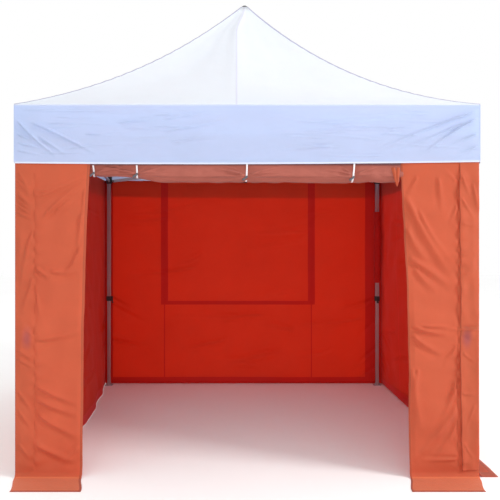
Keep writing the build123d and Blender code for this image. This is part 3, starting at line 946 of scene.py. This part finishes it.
def roll_height(x):
    """Height of the roll's middle: it hangs by its top, so it is higher where it is thinner."""
    return ROLL_Z + 0.9 * (ROLL_R - roll_size(x))


def roll_radius(x, angle):
    """Outer radius of the roll: lumpy, pinched at the ties and gathered beside them."""
    size = roll_size(x) * (1 + 0.045 * ripple(x, 2 * np.cos(angle), 131, 0.30))
    for i, tie in enumerate(TIE_PLACES):
        size = size * (1 - 0.13 * np.exp(-((x - tie) / 0.028) ** 2))
        gather = np.sin(5 * angle + 22 * (x - tie) + i) * np.exp(-np.abs(x - tie) / 0.09)
        size = size + 0.0035 * gather
    return size


ties_low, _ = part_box("door_ties")
TIE_PLACES = (ties_low.x - 0.012, -0.710, 0.0, 0.690)
TURNS = 6.5
ROLL_CORE = 0.014  # radius of the roll's loose core


def make_roll():
    """A spiral of door cloth, wound from its loose core out to its front."""
    x = with_stops(roll_low.x - 0.016, roll_high.x - 0.004, 0.012)
    turns = grid(0, TURNS * 2 * pi, int(TURNS * 26))
    x, turn = np.meshgrid(x, turns)
    share = turn / (TURNS * 2 * pi)
    angle = pi - turn + TURNS * 2 * pi
    outer = roll_radius(x, angle)
    core = ROLL_CORE / outer
    radius = outer * (core + (1 - core) * share)
    folds = ripple(x * 0.35, np.cos(angle) * 0.03, 133, 0.05)
    folds = folds + ripple(x * 0.5, np.sin(angle) * 0.05, 134, 0.09)
    radius = radius + 0.0017 * folds * share ** 2
    y = ROLL_Y + radius * np.cos(angle)
    z = roll_height(x) + radius * np.sin(angle)
    piece = sheet_piece("door_roll_sheet", np.stack([x, y, z], -1), [cloth["roll"]] * 2, flip=True)
    settle(piece, "door")
    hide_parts("door_roll")


make_roll()


def tie_creases():
    """Creases of the door's sheet that fan out to both sides of each tie, low on the roll's front."""
    draw = np.random.default_rng(139)
    lines = []
    for tie in TIE_PLACES:
        foot = float(roll_height(np.array(tie))) - 0.020
        for sign in (-1, 1):
            for i in range(6):
                rise = 0.012 * i + draw.uniform(-0.006, 0.006)
                lines.append((tie + sign * 0.012, foot + 0.3 * rise,
                              tie + sign * draw.uniform(0.10, 0.32), foot + 1.3 * rise,
                              draw.uniform(0.006, 0.011), draw.uniform(0.005, 0.007),
                              draw.uniform(-0.006, 0.006)))
    return lines


def make_door_sheet():
    """The door between the header and its roll, down the roll's front. Its rows are spread evenly over the
    smooth blend from the header to the roll, and its points follow the left and right top connectors."""
    start = np.array([0, -WALL + 0.003, 2.05])
    end = np.array([0, ROLL_Y - ROLL_R, ROLL_Z - 0.024])
    weight = grid(0, 1, 64)
    share = 0.5 - np.sin(np.arcsin(1 - 2 * weight) / 3)
    x, share = np.meshgrid(with_stops(roll_low.x - 0.045, roll_high.x + 0.012, 0.006), share)
    low = end[2] + (roll_height(x) - ROLL_Z) * 1.3
    z = start[2] + (low - start[2]) * share
    around = np.clip((z - roll_height(x)) / ROLL_R, -0.7, 0)
    front = ROLL_Y - (roll_radius(x, pi) + 0.0035) * np.sqrt(1 - around ** 2)
    y = start[1] + (front - start[1]) * smooth(share, 0.0, 0.7)
    hang = smooth(share, 0.1, 0.6)
    drawn = creases(x, z, tie_creases())
    y = y - hang * (np.clip(drawn, -0.002, None) + 0.0018 * ripple(x * 0.6, z * 1.5, 137, 0.07))
    piece = sheet_piece("door_sheet", np.stack([x, y, z], -1), [cloth["roll"]] * 2)
    hooked(piece, "to_left", np.clip(-x.ravel() / HALF, 0, 1), "mid_top_left")
    hooked(piece, "to_right", np.clip(x.ravel() / HALF, 0, 1), "mid_top_right")
    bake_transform(piece)
    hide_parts("door_roll")


make_door_sheet()


def make_tail():
    """The loose corner of the door, a pleated point that hangs out of the roll's right end."""
    t, across = np.meshgrid(grid(0, 1, 24), grid(-0.5, 0.5, 16))
    width = 0.054 * (1 - t) ** 0.8 + 0.005
    x = roll_high.x - 0.036 + 0.008 * t + across * width
    y = ROLL_Y - ROLL_R - 0.007 + 0.004 * np.cos(across * 4 * pi) * (1 - 0.5 * t)
    z = ROLL_Z + 0.040 - 0.122 * t
    points = np.stack([x, y, z], -1).transpose(1, 0, 2)
    piece = sheet_piece("door_tail", points, [cloth["wall"]] * 2)
    settle(piece, "door")


make_tail()

TIE_TOP = 2.06
TIE_GAP = 0.0015  # between the header and a tie's upper end


def make_ties():
    """White webbing at each tie, from the header down the door's front and round the roll, with a dark
    toggle in front."""
    width = 0.011
    for i, x0 in enumerate(TIE_PLACES):
        place = np.array(x0)
        middle = float(roll_height(place))
        loop_r = float(roll_radius(place, pi)) + 0.0075
        angle = np.linspace(pi, pi * 2.55, 50)
        down = np.linspace(0, 1, 14)[:-1]
        y = -WALL - TIE_GAP + (ROLL_Y - loop_r + WALL + TIE_GAP) * down ** 2 - 0.004 * np.sin(down * pi)
        y = np.concatenate([y, ROLL_Y + loop_r * np.cos(angle)])
        z = np.concatenate([TIE_TOP + (middle - TIE_TOP) * down, middle + loop_r * np.sin(angle)])
        across = np.array([-0.5, 0.0, 0.5]) * width
        lean = -0.006 * smooth(np.linspace(0, 1, len(y)), 0.0, 0.5)
        x = x0 + across[None, :] + lean[:, None]
        points = np.stack([x, y[:, None] + 0 * across, z[:, None] + 0 * across], -1)
        piece = sheet_piece("door_tie_%d" % (i + 1), points, [cloth["webbing"]] * 2, thickness=0.0018)
        settle(piece, "mid_top_front")
        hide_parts("door_ties")
        toggle(i, x0, middle - 0.6 * loop_r, ROLL_Y - 0.82 * loop_r)


# radius and place along the axis
TOGGLE_PROFILE = [(0.0, 0.0), (0.0032, 0.0004), (0.0046, 0.002), (0.0046, 0.008), (0.0036, 0.011),
                  (0.0036, 0.015), (0.0046, 0.018), (0.0046, 0.024), (0.0032, 0.0256), (0.0, 0.026)]
TOGGLE_SIDES = 16
TOGGLE_SCALE = 1.6
TOGGLE_LEAN = 0.9


def toggle(i, x0, height, front):
    """The dark toggle of a tie: a barrel with a waist and rounded ends, turned about its own axis."""
    turn = np.linspace(0, 2 * pi, TOGGLE_SIDES + 1)[:-1]
    across, down = cos(TOGGLE_LEAN), sin(TOGGLE_LEAN)
    rows = []
    for radius, along in TOGGLE_PROFILE:
        x, y, z = radius * np.cos(turn), radius * np.sin(turn), np.full(TOGGLE_SIDES, along - 0.013)
        rows.append(np.stack([x * across + z * down, y, z * across - x * down], -1))
    points = np.array(rows) * TOGGLE_SCALE + np.array([x0 - 0.013, front - 0.009, height])
    mesh = bpy.data.meshes.new("tie_toggle")
    index = grid_index(len(TOGGLE_PROFILE), TOGGLE_SIDES, True)
    quads = np.stack([index[:-1, :-1], index[:-1, 1:], index[1:, 1:], index[1:, :-1]], -1).reshape(-1, 4)
    mesh.from_pydata(points.reshape(-1, 3).tolist(), [], quads.tolist())
    mesh.materials.append(toggle_plastic)
    mesh.polygons.foreach_set("use_smooth", np.ones(len(mesh.polygons), bool))
    work = bmesh.new()
    work.from_mesh(mesh)
    bmesh.ops.remove_doubles(work, verts=work.verts, dist=0.00001)
    work.to_mesh(mesh)
    work.free()
    piece = in_scene("tie_toggle_%d" % (i + 1), mesh)
    settle(piece, "mid_top_front")


toggle_plastic = plastic_material("toggle_plastic", srgb(84, 84, 90), 0.5)
make_ties()

# ---- materials of the frame

BAR = srgb(186, 186, 190)
TUBE = srgb(176, 172, 180)
INNER_TUBE = srgb(188, 186, 192)
BLACK = srgb(38, 38, 42)
outer_low, outer_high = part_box("leg_outer_front_left")
frame_materials = {
    "bar_metal": metal_material("bar_metal", BAR, 0.36),
    "leg_metal": leg_material("leg_metal", TUBE, BLACK, [(outer_low.z - 0.01, outer_low.z + 0.0505),
                                                         (outer_high.z - 0.093, outer_high.z + 0.01)]),
    "inner_leg_metal": metal_material("inner_leg_metal", INNER_TUBE, 0.32),
    "connector_plastic": plastic_material("connector_plastic", srgb(40, 40, 44), 0.5),
    "lever_plastic": plastic_material("lever_plastic", srgb(34, 34, 38), 0.42),
    "cap_plastic": plastic_material("cap_plastic", srgb(66, 68, 72), 0.55),
}
mast_metal = metal_material("mast_metal", TUBE, 0.34)
for row in frame["record"]["subparts"]:
    material = frame_materials.get(row["material_slot"])
    if row["node"] == "mast":
        material = mast_metal
    if material:
        node = frame["nodes"][row["node"]]
        for slot in node.material_slots:
            slot.material = material

# ---- floor and light


def make_floor():
    n = Nodes("floor")
    pale = n.ramp(n.noise(0.6, 4.0), [(0.3, (0.97, 0.97, 0.97, 1)), (0.7, (0.99, 0.99, 0.99, 1))])
    material = n.finish(n.principled(pale, 0.85))
    size = 30.0
    mesh = bpy.data.meshes.new("floor")
    corners = [(-size, -size, 0), (size, -size, 0), (size, size, 0), (-size, size, 0)]
    mesh.from_pydata(corners, [], [(0, 1, 2, 3)])
    mesh.materials.append(material)
    floor = in_scene("floor", mesh)


def make_light(name, place, target, size, power, colour):
    data = bpy.data.lights.new(name, "AREA")
    data.size = size
    data.energy = power
    data.color = colour
    light = in_scene(name, data)
    light.location = place
    direction = np.array(target, float) - np.array(place, float)
    light.rotation_euler = Vector(direction).to_track_quat("-Z", "Y").to_euler()


make_floor()
world = bpy.data.worlds.new("world")
world.use_nodes = True
background = world.node_tree.nodes["Background"]
background.inputs["Color"].default_value = (1.0, 1.0, 1.0, 1)
background.inputs["Strength"].default_value = 1.0
bpy.context.scene.world = world
make_light("key", (8.5, -4.8, 6.5), (0, 0, 1.3), 3.0, 620, (1.0, 0.98, 0.96))
make_light("fill", (-1.0, -10.0, 2.2), (0, 0, 1.3), 4.0, 160, (1.0, 0.99, 0.98))
bpy.context.scene.view_settings.view_transform = "Standard"
